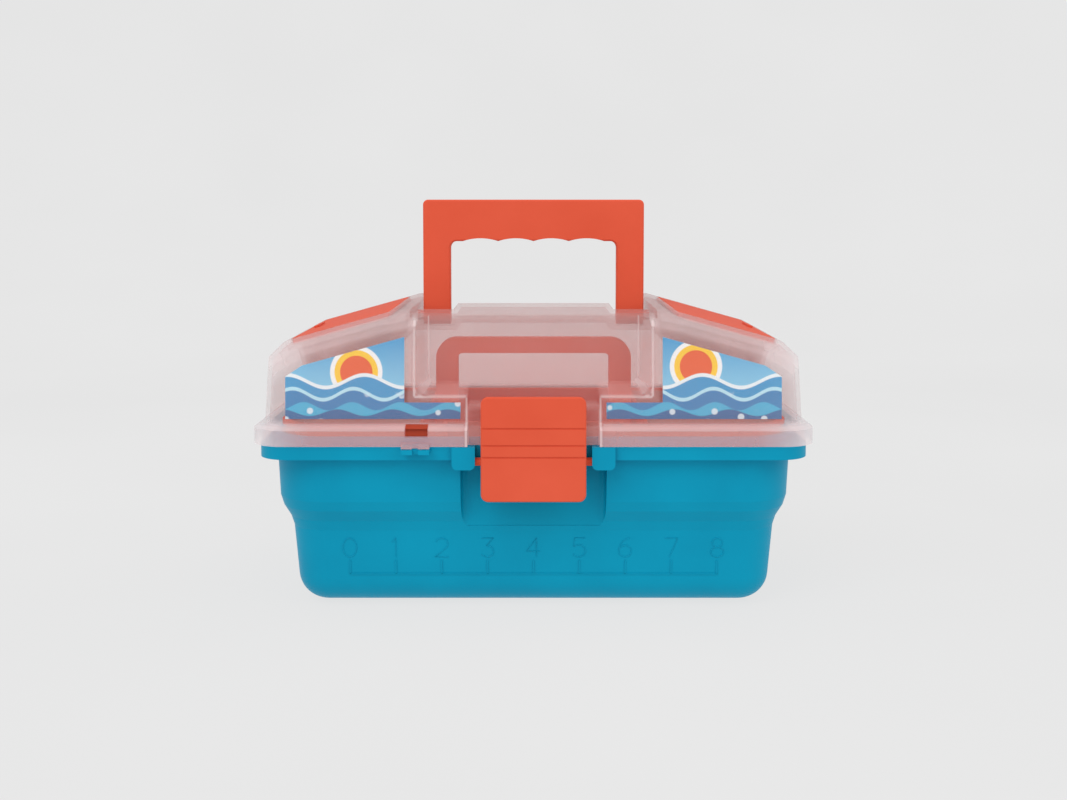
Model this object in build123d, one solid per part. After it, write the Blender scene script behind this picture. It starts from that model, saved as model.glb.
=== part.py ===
from build123d import *
import math
import os

# A small lidded tackle box that stands on four feet, front towards -Y, origin under its middle.
# All lengths are millimetres.

# Shared sizes
rim_length = 300.0
rim_depth = 166.0
corner_radius = 18.0
tub_corner_radius = 30.0
seat_gap = 0.3
running_gap = 0.06
overrun = 30.0

# Tub
tub_wall = 2.2
foot_height = 1.8
foot_size = 22.0
foot_spread_x = 97.0
foot_spread_y = 35.0
shoulder_bottom_z = 47.5
shoulder_top_z = 59.0
rim_bottom_z = 86.5
rim_top_z = 94.0
upstand_top_z = 98.0
upper_inset = 5.5
shoulder_inset = 7.5
lower_inset = 14.5
floor_inset = 18.5
floor_round = 16.0
step_edge = 3.0
inner_floor_edge = 10.5
latch_bay_half = 39.0
latch_bay_flare = 5.0
latch_bay_round = 4.0
latch_bay_land = 0.5
rim_notch_half = 31.5
lug_width = 12.5
lug_drop = 5.0
lug_proud = 2.6
lug_round = 3.0

# Lid
lid_wall = 2.2
skirt_wall = 4.0
lid_overhang = 3.0
skirt_top_z = 103.0
lid_shoulder_z = 106.5
lid_wall_inset = 3.0
lid_top_inset = 6.9
hump_z = 167.0
hump_width = 6.0
slope_drop_angle = 15.6
slope_end_margin = 14.0
lid_edge_angle = 44.0
lid_edge_round = 6.0
lid_hump_round = 3.0
lid_flat_margin = 15.0
lid_bevel_depth = 20.0
lid_bevel_taper = 45.0

# Bay in the lid's top for the carrying handle
handle_bay_gap = 2.0
handle_bay_z = 162.5
channel_floor_z = 152.5
channel_front_y = -9.0
channel_cross_y = 41.0

# Recesses in the lid's front
finger_depth = 27.0
finger_floor_half = 58.5
finger_sill_z = 126.0
finger_taper = 14.0
finger_round = 5.0
pocket_floor_z = 115.0
catch_bay_half = 35.5
catch_bay_depth = 2.9
catch_proud = 3.4
catch_half = 22.0
catch_bottom_z = 106.0
catch_height = 4.0

# Carrying handle
handle_length_share = 0.435
handle_top_z = 227.0
handle_leg = 16.0
handle_grip = 24.5
handle_thick = 11.0
handle_edge = 0.9
handle_corner = 3.0
handle_inner_corner = 4.0
handle_pivot_z = 158.5
handle_pin_radius = 3.0
handle_pin_reach = 3.6
finger_count = 4
finger_margin = 7.45
finger_rise = 1.7

# Latch
latch_half = 28.2
latch_bottom_z = 65.0
latch_top_z = 121.5
latch_thick = 3.0
latch_corner = 4.0
latch_edge = 0.7
latch_stand_off = 0.9
latch_pivot_set_in = 1.5
latch_pivot_z = 85.5
latch_pin_radius = 2.2
latch_pin_reach = 3.5
latch_cheek = 2.5
latch_cheek_radius = 3.7
latch_cheek_top_z = 114.5
latch_lip_height = 3.0
latch_lip_lift = 0.5
latch_groove = 0.5
latch_groove_width = 0.9
latch_groove_z = (104.2, 95.0, 88.6)

# Hatches in the lid's sloping ends
hatch_inner_margin = 6.5
hatch_outer_margin = 2.5
hatch_end_margin = 20.0
hatch_thick = 3.2
hatch_corner = 3.0
hatch_rebate = 3.7
hatch_gap = 0.4
hatch_pin_radius = 1.1
hatch_pin_reach = 1.6
hatch_grip_length = 24.0
hatch_grip_width = 3.0
hatch_grip_height = 1.2
well_margin = 4.0
well_depth = 19.0

# Hinge between tub and lid
hinge_reach = 5.5
hinge_z = 94.2
hinge_spread_x = 85.0
hinge_barrel_radius = 4.2
hinge_pin_radius = 2.0
hinge_pin_over = 1.2
lid_knuckle_half = 7.5
tub_knuckle_length = 10.0
knuckle_gap = 0.4

# Seal eyes at the front of the rim
eye_x = -63.0
eye_half = 7.5
eye_reach = 6.7
eye_thick = 2.6
eye_slot_half = 1.6
eye_slot_depth = 2.4
eye_window_half = 6.2
eye_window_lift = 5.0
eye_window_height = 6.5

# Lift-out tray
tray_wall = 2.0
tray_floor_z = 52.0
tray_top_z = 104.5
tray_lip = 1.8
tray_lip_height = 2.5
tray_gap = 0.9
tray_bay_margin = 4.0
tray_divider_top_z = 99.0
tray_notch_gap = 1.2

# Tray handle
tray_handle_set_in = 7.25
tray_handle_top_z = 145.0
tray_handle_leg = 13.0
tray_handle_bar = 9.0
tray_handle_thick = 10.0
tray_handle_outer_round = 12.0
tray_handle_inner_round = 3.0
socket_height = 10.0
socket_wall = 2.0

# Tray covers
cover_thick = 2.0
cover_gap = 0.5
cover_barrel_radius = 2.0
cover_pin_radius = 1.1
cover_pin_reach = 1.6
cover_end_margin = 38.0
cover_ear = 2.6
cover_ear_gap = 0.4
cover_ear_clear = 9.0

# Printed cards behind the lid's front wall
card_thick = 0.4
card_gap = 0.15
card_end_margin = 15.5
card_inner_x = 70.0
card_foot_x = 39.5
card_bottom_v = 1.5
card_foot_v = 10.5
card_outer_drop = 18.5
card_clip = 9.0
card_clip_rise = 6.0
card_inner_drop = 14.5

front_y = -rim_depth / 2
hinge_y = rim_depth / 2 + hinge_reach
latch_pivot_y = front_y + latch_pivot_set_in
finger_floor_y = front_y + finger_depth
catch_bay_floor_y = front_y + catch_bay_depth
lid_flat_half = rim_depth / 2 - lid_flat_margin
hatch_depth = rim_depth - 2 * hatch_end_margin
tub_floor_z = foot_height
lid_bottom_z = rim_top_z + seat_gap
slope_fall = math.tan(math.radians(slope_drop_angle))
lid_draft = math.atan2(lid_top_inset - lid_wall_inset, hump_z - lid_shoulder_z)
handle_length = rim_length * handle_length_share
finger_pitch = (handle_length - 2 * handle_leg - 2 * finger_margin) / finger_count
tray_handle_length = handle_length - 2 * tray_handle_set_in
handle_bay_half = handle_length / 2 + handle_bay_gap
slope_top_x = handle_bay_half + hump_width
slope_low_x = rim_length / 2 - slope_end_margin
slope_low_z = hump_z - slope_fall * (slope_low_x - slope_top_x)
hatch_inner_x = slope_top_x + hatch_inner_margin
hatch_outer_x = slope_low_x - hatch_outer_margin
hatch_middle_x = (hatch_inner_x + hatch_outer_x) / 2
hatch_length = (hatch_outer_x - hatch_inner_x) / math.cos(math.radians(slope_drop_angle))
tray_bay_x = tray_handle_length / 2 + tray_bay_margin
cover_barrel_end_x = rim_length / 2 - cover_end_margin
card_outer_x = rim_length / 2 - card_end_margin
card_outer_v = slope_low_z - lid_shoulder_z - card_outer_drop
card_clip_v = card_outer_v + card_clip_rise
card_inner_v = hump_z - lid_shoulder_z - card_inner_drop
tub_corner_reach = tub_corner_radius + upper_inset
lid_corner_reach = corner_radius - lid_overhang


def ring(inset, z, radius):
    """A rounded rectangle at height z, set in from the tub's rim."""
    return Plane.XY.offset(z) * RectangleRounded(rim_length - 2 * inset, rim_depth - 2 * inset, radius)


def stack(levels, corner_reach):
    """Tapered storeys between (height, inset) levels, with corners that keep one centre."""
    body = Part()
    for (z_low, inset_low), (z_high, inset_high) in zip(levels, levels[1:]):
        lean = math.degrees(math.atan2(inset_low - inset_high, z_high - z_low))
        body += extrude(ring(inset_low, z_low, corner_reach - inset_low), z_high - z_low, taper=-lean)
    return body


def block(x_low, x_high, y_low, y_high, z_low, z_high):
    """A plain block between two corners."""
    middle = ((x_low + x_high) / 2, (y_low + y_high) / 2, (z_low + z_high) / 2)
    return Pos(*middle) * Box(x_high - x_low, y_high - y_low, z_high - z_low)


def rod(radius, x_low, x_high, y, z):
    """A round rod along X."""
    middle = Pos((x_low + x_high) / 2, y, z)
    return middle * Rot(0, 90, 0) * Cylinder(radius, x_high - x_low)


def outline(points, radii):
    """A closed outline through the points, with each corner rounded by its radius."""
    face = make_face(Polyline(*points, close=True))
    for (x, y), radius in zip(points, radii):
        if radius > 0:
            corner = face.vertices().sort_by_distance((x, y, 0))[0]
            face = fillet(corner, radius)
    return face


def both_sides(shape):
    """The shape and its mirror image across the middle plane."""
    return [shape, mirror(shape, Plane.YZ)]


def tub_form(skin, top_z):
    """The tub as a closed body, set in by a skin on every side."""
    levels = [
        (tub_floor_z + skin, floor_inset + skin),
        (shoulder_bottom_z, lower_inset + skin),
        (shoulder_top_z, shoulder_inset + skin),
        (top_z, upper_inset + skin),
    ]
    return stack(levels, tub_corner_reach)


def tub_outside():
    """The tub's outer form, rounded under and with the step in its walls eased."""
    body = tub_form(0, upstand_top_z)
    body = fillet(body.faces().sort_by(Axis.Z)[0].edges(), floor_round)
    for step_z in (shoulder_bottom_z, shoulder_top_z):
        step_edges = body.edges().filter_by_position(Axis.Z, step_z - seat_gap, step_z + seat_gap)
        body = chamfer(step_edges, step_edge)
    return body


def tub_inside():
    body = tub_form(tub_wall, upstand_top_z + overrun)
    return chamfer(body.faces().sort_by(Axis.Z)[0].edges(), inner_floor_edge)


def latch_bay(grow):
    """The hollow under the rim that takes the latch's lower half."""
    mouth_y = front_y - overrun
    floor_y = front_y + lower_inset - latch_bay_land + grow
    floor_half = latch_bay_half + grow
    mouth_half = floor_half + latch_bay_flare
    points = [(-mouth_half, mouth_y), (mouth_half, mouth_y), (floor_half, floor_y), (-floor_half, floor_y)]
    face = outline(points, [0, 0, latch_bay_round, latch_bay_round])
    bottom_z = shoulder_bottom_z - grow
    return extrude(Plane.XY.offset(bottom_z) * face, rim_bottom_z + grow - bottom_z)


def tub_knuckle(x_middle):
    """One barrel of the tub's half of a hinge, with the web that joins it to the rim."""
    x_low = x_middle - tub_knuckle_length / 2
    x_high = x_middle + tub_knuckle_length / 2
    barrel = rod(hinge_barrel_radius, x_low, x_high, hinge_y, hinge_z)
    web = block(x_low, x_high, -front_y - upper_inset, hinge_y, rim_bottom_z, hinge_z)
    return barrel + web


def tub_knuckle_places():
    step = lid_knuckle_half + knuckle_gap + tub_knuckle_length / 2
    return [side * hinge_spread_x + way * step for side in (-1, 1) for way in (-1, 1)]


def latch_lug():
    """The lug under the rim that carries one end of the latch's pivot."""
    x_high = rim_notch_half + lug_width
    z_low = rim_bottom_z - lug_drop
    points = [(rim_notch_half, z_low), (x_high, z_low), (x_high, rim_top_z), (rim_notch_half, rim_top_z)]
    face = outline(points, [lug_round, lug_round, 0, 0])
    reach = lug_proud + upper_inset
    return extrude(Plane.XZ.offset(-front_y - upper_inset) * face, reach)


def make_tub():
    rim_bar = extrude(ring(0, rim_bottom_z, corner_radius), rim_top_z - rim_bottom_z)
    eye_y = front_y - lid_overhang - eye_reach
    eye_z = rim_top_z - seat_gap
    eye = block(eye_x - eye_half, eye_x + eye_half, eye_y, front_y + upper_inset, eye_z - eye_thick, eye_z)
    outer = tub_outside() - latch_bay(0) + rim_bar + eye
    for side in (-1, 1):
        for way in (-1, 1):
            spot = Pos(side * foot_spread_x, way * foot_spread_y, (foot_height + tub_wall) / 2)
            outer += spot * Box(foot_size, foot_size, foot_height + tub_wall)
    notch_y = front_y + upper_inset
    outer -= block(-rim_notch_half, rim_notch_half, front_y - overrun, notch_y, rim_bottom_z, rim_top_z)
    for lug in both_sides(latch_lug()):
        outer += lug
    for x_middle in tub_knuckle_places():
        outer += tub_knuckle(x_middle)
    inner = tub_inside() - latch_bay(tub_wall)
    tub = outer - inner
    pin_end = rim_notch_half + latch_pin_reach
    tub -= rod(latch_pin_radius + running_gap, -pin_end, pin_end, latch_pivot_y, latch_pivot_z)
    pin_half = hinge_spread_x + lid_knuckle_half + tub_knuckle_length + overrun
    tub -= rod(hinge_pin_radius + running_gap, -pin_half, pin_half, hinge_y, hinge_z)
    slot_y = eye_y + eye_slot_depth
    slot_z = eye_z - eye_thick
    tub -= block(eye_x - eye_slot_half, eye_x + eye_slot_half, eye_y - overrun, slot_y, slot_z, eye_z)
    return tub


def lid_walls(skin, skirt_skin, bottom_z):
    """The lid's skirt and side walls as a closed body that runs past the lid's top."""
    top_z = hump_z + overrun
    top_inset = lid_wall_inset + math.tan(lid_draft) * (top_z - lid_shoulder_z)
    levels = [
        (bottom_z, skirt_skin - lid_overhang),
        (skirt_top_z - skin / 2, skirt_skin - lid_overhang),
        (lid_shoulder_z - skin / 2, lid_wall_inset + skin),
        (top_z, top_inset + skin),
    ]
    return stack(levels, lid_corner_reach)


def lid_roof(skin):
    """The lid's front outline, run from front to back and bevelled towards both ends."""
    wide_x = rim_length / 2 + overrun
    wide_z = slope_low_z - math.tan(math.radians(lid_edge_angle)) * (wide_x - slope_low_x)
    low_z = lid_bottom_z - 3 * overrun
    half = [(wide_x, low_z), (wide_x, wide_z), (slope_low_x, slope_low_z), (slope_top_x, hump_z)]
    points = half + [(-x, z) for x, z in reversed(half)]
    radii = [0, 0, lid_edge_round, lid_hump_round, lid_hump_round, lid_edge_round, 0, 0]
    face = outline(points, radii)
    if skin > 0:
        face = offset(face, -skin)
    flat_half = lid_flat_half - skin
    core = extrude(Plane.XZ * face, flat_half, both=True)
    bevel = extrude(Plane.XZ.offset(flat_half) * face, lid_bevel_depth, taper=lid_bevel_taper)
    return core + bevel + mirror(bevel, Plane.XZ)


def hatch_plane(side):
    """The plane of one sloping end, with x pointing down the slope and z outwards."""
    angle = math.radians(slope_drop_angle)
    z = hump_z - slope_fall * (hatch_middle_x - slope_top_x)
    downhill = (side * math.cos(angle), 0, -math.sin(angle))
    outward = (side * math.sin(angle), 0, math.cos(angle))
    return Plane(origin=(side * hatch_middle_x, 0, z), x_dir=downhill, z_dir=outward)


def hatch_hollow(side, grow):
    """The rebate that a hatch closes flush and the small well under it."""
    length = hatch_length + 2 * (hatch_gap + grow)
    depth = hatch_depth + 2 * (hatch_gap + grow)
    place = hatch_plane(side)
    rebate_low = hatch_rebate + grow
    rebate = place * Pos(0, 0, (overrun - rebate_low) / 2) * Box(length, depth, overrun + rebate_low)
    well_low = well_depth + grow
    well_length = hatch_length - 2 * (well_margin - grow)
    well_width = hatch_depth - 2 * (well_margin - grow)
    well = place * Pos(0, 0, -well_low / 2) * Box(well_length, well_width, well_low)
    return rebate + well


def lid_hollows(grow):
    """Every recess pressed into the lid from outside, grown by a wall for its inner face."""
    far = rim_depth
    top_z = hump_z + 2 * overrun
    bay_half = handle_bay_half + grow
    hollows = [block(-bay_half, bay_half, -far, far, handle_bay_z - grow, top_z)]
    inner_x = handle_length / 2 - handle_leg - (handle_bay_half - handle_length / 2) - grow
    floor_z = channel_floor_z - grow
    for side in both_sides(block(inner_x, bay_half, channel_front_y - grow, far, floor_z, top_z)):
        hollows.append(side)
    hollows.append(block(-bay_half, bay_half, channel_cross_y - grow, far, floor_z, top_z))
    finger_half = finger_floor_half + grow
    sill_z = finger_sill_z - grow
    finger_face = RectangleRounded(2 * finger_half, top_z - sill_z, finger_round)
    finger_place = Plane.XZ.offset(-finger_floor_y - grow) * Pos(0, (top_z + sill_z) / 2)
    hollows.append(extrude(finger_place * finger_face, overrun + grow, taper=-finger_taper))
    catch_half_width = catch_bay_half + grow
    catch_top = finger_sill_z
    catch_y = catch_bay_floor_y + grow
    low_z = lid_bottom_z - overrun
    hollows.append(block(-catch_half_width, catch_half_width, -far, catch_y, low_z, catch_top))
    pocket_y = finger_floor_y + grow
    pocket_z = pocket_floor_z - grow
    pocket_top = finger_sill_z + finger_round
    hollows.append(block(-catch_half_width, catch_half_width, -far, pocket_y, pocket_z, pocket_top))
    for side in (-1, 1):
        hollows.append(hatch_hollow(side, grow))
    return hollows


def lid_body(skin, skirt_skin, bottom_z):
    body = lid_walls(skin, skirt_skin, bottom_z) & lid_roof(skin)
    for hollow in lid_hollows(skin):
        body -= hollow
    return body


def lid_knuckle(x_middle):
    """The lid's barrel of a hinge, with the web that joins it to the skirt."""
    x_low = x_middle - lid_knuckle_half
    x_high = x_middle + lid_knuckle_half
    barrel = rod(hinge_barrel_radius, x_low, x_high, hinge_y, hinge_z)
    web_y = -front_y + lid_overhang - skirt_wall
    web = block(x_low, x_high, web_y, hinge_y, lid_bottom_z, hinge_z + hinge_barrel_radius)
    return barrel + web


def hatch_axis(side):
    """The hatch's pivot line, at the upper end of the slope and in the middle of the door."""
    return hatch_plane(side) * Pos(-hatch_length / 2 + hatch_thick / 2, 0, -hatch_thick / 2)


def make_lid():
    outer = lid_body(0, 0, lid_bottom_z)
    inner = lid_body(lid_wall, skirt_wall, lid_bottom_z - overrun)
    lid = outer - inner
    for x_middle in tub_knuckle_places():
        reach = tub_knuckle_length / 2 + knuckle_gap
        room_y = hinge_y - hinge_barrel_radius - knuckle_gap
        room_z = hinge_z + hinge_barrel_radius + knuckle_gap
        room_low = lid_bottom_z - overrun
        lid -= block(x_middle - reach, x_middle + reach, room_y, hinge_y + overrun, room_low, room_z)
    for side in (-1, 1):
        lid += lid_knuckle(side * hinge_spread_x)
        pin = Rot(90, 0, 0) * Cylinder(hatch_pin_radius + running_gap, hatch_depth + 2 * hatch_pin_reach)
        lid -= hatch_axis(side) * pin
    far_x = rim_length
    lid -= rod(hinge_pin_radius + running_gap, -far_x, far_x, hinge_y, hinge_z)
    pin_end = handle_length / 2 + handle_pin_reach + seat_gap
    for bore in both_sides(rod(handle_pin_radius + running_gap, handle_length / 2, pin_end, 0, handle_pivot_z)):
        lid -= bore
    catch_y = catch_bay_floor_y - catch_proud
    catch_top = catch_bottom_z + catch_height
    lid += block(-catch_half, catch_half, catch_y, catch_bay_floor_y, catch_bottom_z, catch_top)
    eye_y = front_y - lid_overhang - eye_reach
    eye_x_low = eye_x - eye_half
    eye_x_high = eye_x + eye_half
    skirt_y = front_y - lid_overhang + skirt_wall / 2
    lid += block(eye_x_low, eye_x_high, eye_y, skirt_y, lid_bottom_z, lid_bottom_z + eye_thick)
    slot_y = eye_y + eye_slot_depth
    slot_top = lid_bottom_z + eye_thick
    lid -= block(eye_x - eye_slot_half, eye_x + eye_slot_half, eye_y - overrun, slot_y, lid_bottom_z, slot_top)
    window_low = lid_bottom_z + eye_window_lift
    window_high = window_low + eye_window_height
    window_y = front_y + lid_wall_inset + lid_wall + skirt_wall
    lid -= block(eye_x - eye_window_half, eye_x + eye_window_half, eye_y, window_y, window_low, window_high)
    return lid


def make_carry_handle():
    half = handle_length / 2
    inner_half = half - handle_leg
    grip_z = handle_top_z - handle_grip
    low_z = handle_pivot_z
    outer = outline(
        [(-half, low_z), (half, low_z), (half, handle_top_z), (-half, handle_top_z)],
        [0, 0, handle_corner, handle_corner],
    )
    opening = outline(
        [(-inner_half, low_z), (inner_half, low_z), (inner_half, grip_z), (-inner_half, grip_z)],
        [0, 0, handle_inner_corner, handle_inner_corner],
    )
    bow = extrude(Plane.XZ * (outer - opening), handle_thick / 2, both=True)
    rims = bow.edges().filter_by(Axis.Y, reverse=True)
    bow = chamfer(rims.filter_by(lambda edge: edge.center().Z > low_z), handle_edge)
    for number in range(finger_count):
        middle = (number - (finger_count - 1) / 2) * finger_pitch
        chord = finger_pitch / 2
        radius = (chord * chord + finger_rise * finger_rise) / (2 * finger_rise)
        dip = Pos(middle, 0, grip_z + finger_rise - radius) * Rot(90, 0, 0) * Cylinder(radius, 2 * handle_thick)
        window = block(middle - chord, middle + chord, -handle_thick, handle_thick, grip_z, handle_top_z)
        bow -= dip & window
    for side in (-1, 1):
        leg_low = side * inner_half
        leg_high = side * half
        bow += rod(handle_thick / 2, min(leg_low, leg_high), max(leg_low, leg_high), 0, handle_pivot_z)
        pin_tip = side * (half + handle_pin_reach)
        bow += rod(handle_pin_radius, min(leg_high, pin_tip), max(leg_high, pin_tip), 0, handle_pivot_z)
    return bow


def make_latch():
    back_y = front_y - lug_proud - latch_stand_off
    z_middle = (latch_top_z + latch_bottom_z) / 2
    face = RectangleRounded(2 * latch_half, latch_top_z - latch_bottom_z, latch_corner)
    plate = extrude(Plane.XZ.offset(-back_y) * Pos(0, z_middle) * face, latch_thick)
    plate = chamfer(plate.faces().sort_by(Axis.Y)[0].edges(), latch_edge)
    for groove_z in latch_groove_z:
        groove_y = back_y - latch_thick + latch_groove
        groove_high = groove_z + latch_groove_width
        plate -= block(-latch_half, latch_half, groove_y - overrun, groove_y, groove_z, groove_high)
    cheek_back = latch_pivot_y + latch_cheek_radius
    cheek_low = latch_pivot_z - latch_cheek_radius
    cheek_points = [
        (back_y, cheek_low),
        (cheek_back, cheek_low),
        (cheek_back, latch_pivot_z),
        (latch_pivot_y, latch_pivot_z + latch_cheek_radius),
        (back_y, latch_cheek_top_z),
    ]
    cheek_round = latch_cheek_radius - running_gap
    cheek_face = outline(cheek_points, [0, cheek_round, 0, 0, 0])
    cheek = extrude(Plane.YZ.offset(latch_half - latch_cheek) * cheek_face, latch_cheek)
    pin_end = rim_notch_half + latch_pin_reach - seat_gap
    pin = rod(latch_pin_radius, latch_half - latch_cheek, pin_end, latch_pivot_y, latch_pivot_z)
    latch = plate
    for piece in both_sides(cheek) + both_sides(pin):
        latch += piece
    lip_low = catch_bottom_z + catch_height + latch_lip_lift
    lip_back = catch_bay_floor_y - catch_proud - seat_gap
    latch += block(-catch_half, catch_half, back_y, lip_back, lip_low, lip_low + latch_lip_height)
    return latch


def make_hatch(side):
    place = hatch_plane(side)
    face = RectangleRounded(hatch_length, hatch_depth, hatch_corner)
    door = extrude(place * face, -hatch_thick)
    end = place * Pos(-hatch_length / 2 + hatch_thick / 4, 0, -hatch_thick / 2)
    door -= end * Box(hatch_thick / 2, 2 * hatch_depth, 2 * hatch_thick)
    barrel = Rot(90, 0, 0) * Cylinder(hatch_thick / 2, hatch_depth)
    pin = Rot(90, 0, 0) * Cylinder(hatch_pin_radius, hatch_depth + 2 * (hatch_pin_reach - seat_gap / 2))
    door += hatch_axis(side) * barrel
    door += hatch_axis(side) * pin
    grip_place = place * Pos(hatch_length / 2 - 2 * hatch_grip_width, 0, hatch_grip_height / 2)
    grip_face = SlotOverall(hatch_grip_length, hatch_grip_width, rotation=90)
    door += extrude(grip_place * Pos(0, 0, -hatch_grip_height) * grip_face, hatch_grip_height * 3 / 2)
    return door


def tray_inset(z):
    """How far the tray's outside is set in from the rim, following the tub's inner wall."""
    if z < shoulder_top_z:
        share = (z - shoulder_bottom_z) / (shoulder_top_z - shoulder_bottom_z)
        inset = lower_inset + share * (shoulder_inset - lower_inset)
        return inset + tub_wall + seat_gap
    return shoulder_inset + tub_wall + tray_gap


def tray_form(skin, top_z):
    levels = [(z, tray_inset(z) + skin) for z in (tray_floor_z + skin, shoulder_top_z + skin, top_z)]
    return stack(levels, tub_corner_reach)


def tray_notch(grow):
    """The step in the tray's front that clears the latch bay."""
    floor_y = front_y + lower_inset + tub_wall + tray_notch_gap + grow
    half = latch_bay_half + latch_bay_flare + tub_wall + tray_notch_gap + grow
    return block(-half, half, front_y - overrun, floor_y, tray_floor_z - overrun, tray_top_z + overrun)


def cover_hinge_y():
    inner_y = -front_y - tray_inset(tray_top_z) - tray_wall
    return inner_y - cover_barrel_radius - cover_gap


def cover_hinge_z():
    return tray_divider_top_z + seat_gap + cover_barrel_radius


def tray_handle_leg_span():
    outer = tray_handle_length / 2
    return outer - tray_handle_leg, outer


def tray_socket():
    """The collar on the tray's floor that one leg of the tray handle stands in."""
    x_low, x_high = tray_handle_leg_span()
    half = tray_handle_thick / 2
    floor_z = tray_floor_z + tray_wall
    top_z = floor_z + socket_height
    gap = seat_gap / 2
    grow = gap + socket_wall
    collar = block(x_low - grow, x_high + gap, -half - grow, half + grow, tray_floor_z, top_z)
    collar += block(x_high, tray_bay_x, -half - grow, half + grow, tray_floor_z, top_z)
    return collar - block(x_low - gap, x_high + gap, -half - gap, half + gap, floor_z, top_z)


def make_tray():
    rim_low = tray_top_z - tray_lip_height
    lip_inset = tray_inset(tray_top_z) - tray_lip
    lip = extrude(ring(lip_inset, rim_low, tub_corner_reach - lip_inset), tray_lip_height)
    outer = tray_form(0, tray_top_z) + lip - tray_notch(0)
    inner = tray_form(tray_wall, tray_top_z + overrun) - tray_notch(tray_wall)
    tray = outer - inner
    room = tray_form(tray_wall / 2, tray_top_z) - tray_notch(tray_wall / 2)
    half_wall = tray_wall / 2
    far = rim_length
    for side in (-1, 1):
        bay_x = side * tray_bay_x
        bay_wall = block(bay_x - half_wall, bay_x + half_wall, -far, far, tray_floor_z, tray_top_z)
        tray += bay_wall & room
        x_low = min(bay_x, side * far)
        x_high = max(bay_x, side * far)
        middle_wall = block(x_low, x_high, -half_wall, half_wall, tray_floor_z, tray_divider_top_z)
        tray += middle_wall & room
        ear_near = cover_barrel_end_x + cover_ear_gap
        ear_far = ear_near + cover_ear
        ear_low = cover_hinge_y() - cover_barrel_radius
        ear_z = cover_hinge_z() - 2 * cover_barrel_radius
        ear = block(min(side * ear_near, side * ear_far), max(side * ear_near, side * ear_far),
                    ear_low, far, ear_z, tray_top_z)
        tray += ear & room
    for socket in both_sides(tray_socket()):
        tray += socket
    pin_end = cover_barrel_end_x + cover_ear_gap + cover_pin_reach
    tray -= rod(cover_pin_radius + running_gap, -pin_end, pin_end, cover_hinge_y(), cover_hinge_z())
    return tray


def make_tray_handle():
    half = tray_handle_length / 2
    inner_half = half - tray_handle_leg
    low_z = tray_floor_z + tray_wall
    bar_z = tray_handle_top_z - tray_handle_bar
    outer = outline(
        [(-half, low_z), (half, low_z), (half, tray_handle_top_z), (-half, tray_handle_top_z)],
        [0, 0, tray_handle_outer_round, tray_handle_outer_round],
    )
    opening = outline(
        [(-inner_half, low_z), (inner_half, low_z), (inner_half, bar_z), (-inner_half, bar_z)],
        [0, 0, tray_handle_inner_round, tray_handle_inner_round],
    )
    return extrude(Plane.XZ * (outer - opening), tray_handle_thick / 2, both=True)


def make_tray_cover():
    """The clear cover over the tray's right-hand bay, hinged along its back edge."""
    low_z = tray_divider_top_z + seat_gap
    near_x = tray_bay_x + tray_wall / 2 + cover_gap
    far = rim_length
    room = tray_form(tray_wall + cover_gap, tray_top_z) - tray_notch(tray_wall + cover_gap)
    hinge_line = cover_hinge_y()
    plate = room & block(near_x, far, -far, hinge_line, low_z, low_z + cover_thick)
    ear_x = cover_barrel_end_x - cover_ear_gap
    ear_y = hinge_line - cover_ear_clear
    plate -= block(ear_x, far, ear_y, far, low_z - overrun, low_z + overrun)
    plate += rod(cover_barrel_radius, near_x, cover_barrel_end_x, hinge_line, cover_hinge_z())
    pin_near = tray_bay_x - tray_wall / 2
    pin_far = cover_barrel_end_x + cover_ear_gap + cover_pin_reach - seat_gap / 2
    plate += rod(cover_pin_radius, pin_near, pin_far, hinge_line, cover_hinge_z())
    return plate


def make_card():
    """The printed card behind the right half of the lid's front wall."""
    inner_y = front_y + lid_wall_inset + lid_wall + card_gap + card_thick
    outward = (0, -math.cos(lid_draft), math.sin(lid_draft))
    place = Plane(origin=(0, inner_y, lid_shoulder_z), x_dir=(1, 0, 0), z_dir=outward)
    points = [
        (card_foot_x, card_bottom_v),
        (card_outer_x, card_bottom_v),
        (card_outer_x, card_outer_v),
        (card_outer_x - card_clip, card_clip_v),
        (card_inner_x, card_inner_v),
        (card_inner_x, card_foot_v),
        (card_foot_x, card_foot_v),
    ]
    return extrude(place * make_face(Polyline(*points, close=True)), card_thick)


def make_hinge_pin(side):
    half = lid_knuckle_half + knuckle_gap + tub_knuckle_length + hinge_pin_over
    middle = side * hinge_spread_x
    return rod(hinge_pin_radius, middle - half, middle + half, hinge_y, hinge_z)


def make_parts():
    right_cover = make_tray_cover()
    right_card = make_card()
    return {
        "tub": make_tub(),
        "lid": make_lid(),
        "carry_handle": make_carry_handle(),
        "front_latch": make_latch(),
        "hatch_left": make_hatch(-1),
        "hatch_right": make_hatch(1),
        "hinge_pin_left": make_hinge_pin(-1),
        "hinge_pin_right": make_hinge_pin(1),
        "lift_out_tray": make_tray(),
        "tray_handle": make_tray_handle(),
        "tray_cover_left": mirror(right_cover, Plane.YZ),
        "tray_cover_right": right_cover,
        "card_left": mirror(right_card, Plane.YZ),
        "card_right": right_card,
    }


os.makedirs("parts", exist_ok=True)
for name, shape in make_parts().items():
    export_step(shape, f"parts/{name}.step")
    print(name, round(shape.volume), shape.is_valid)
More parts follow.
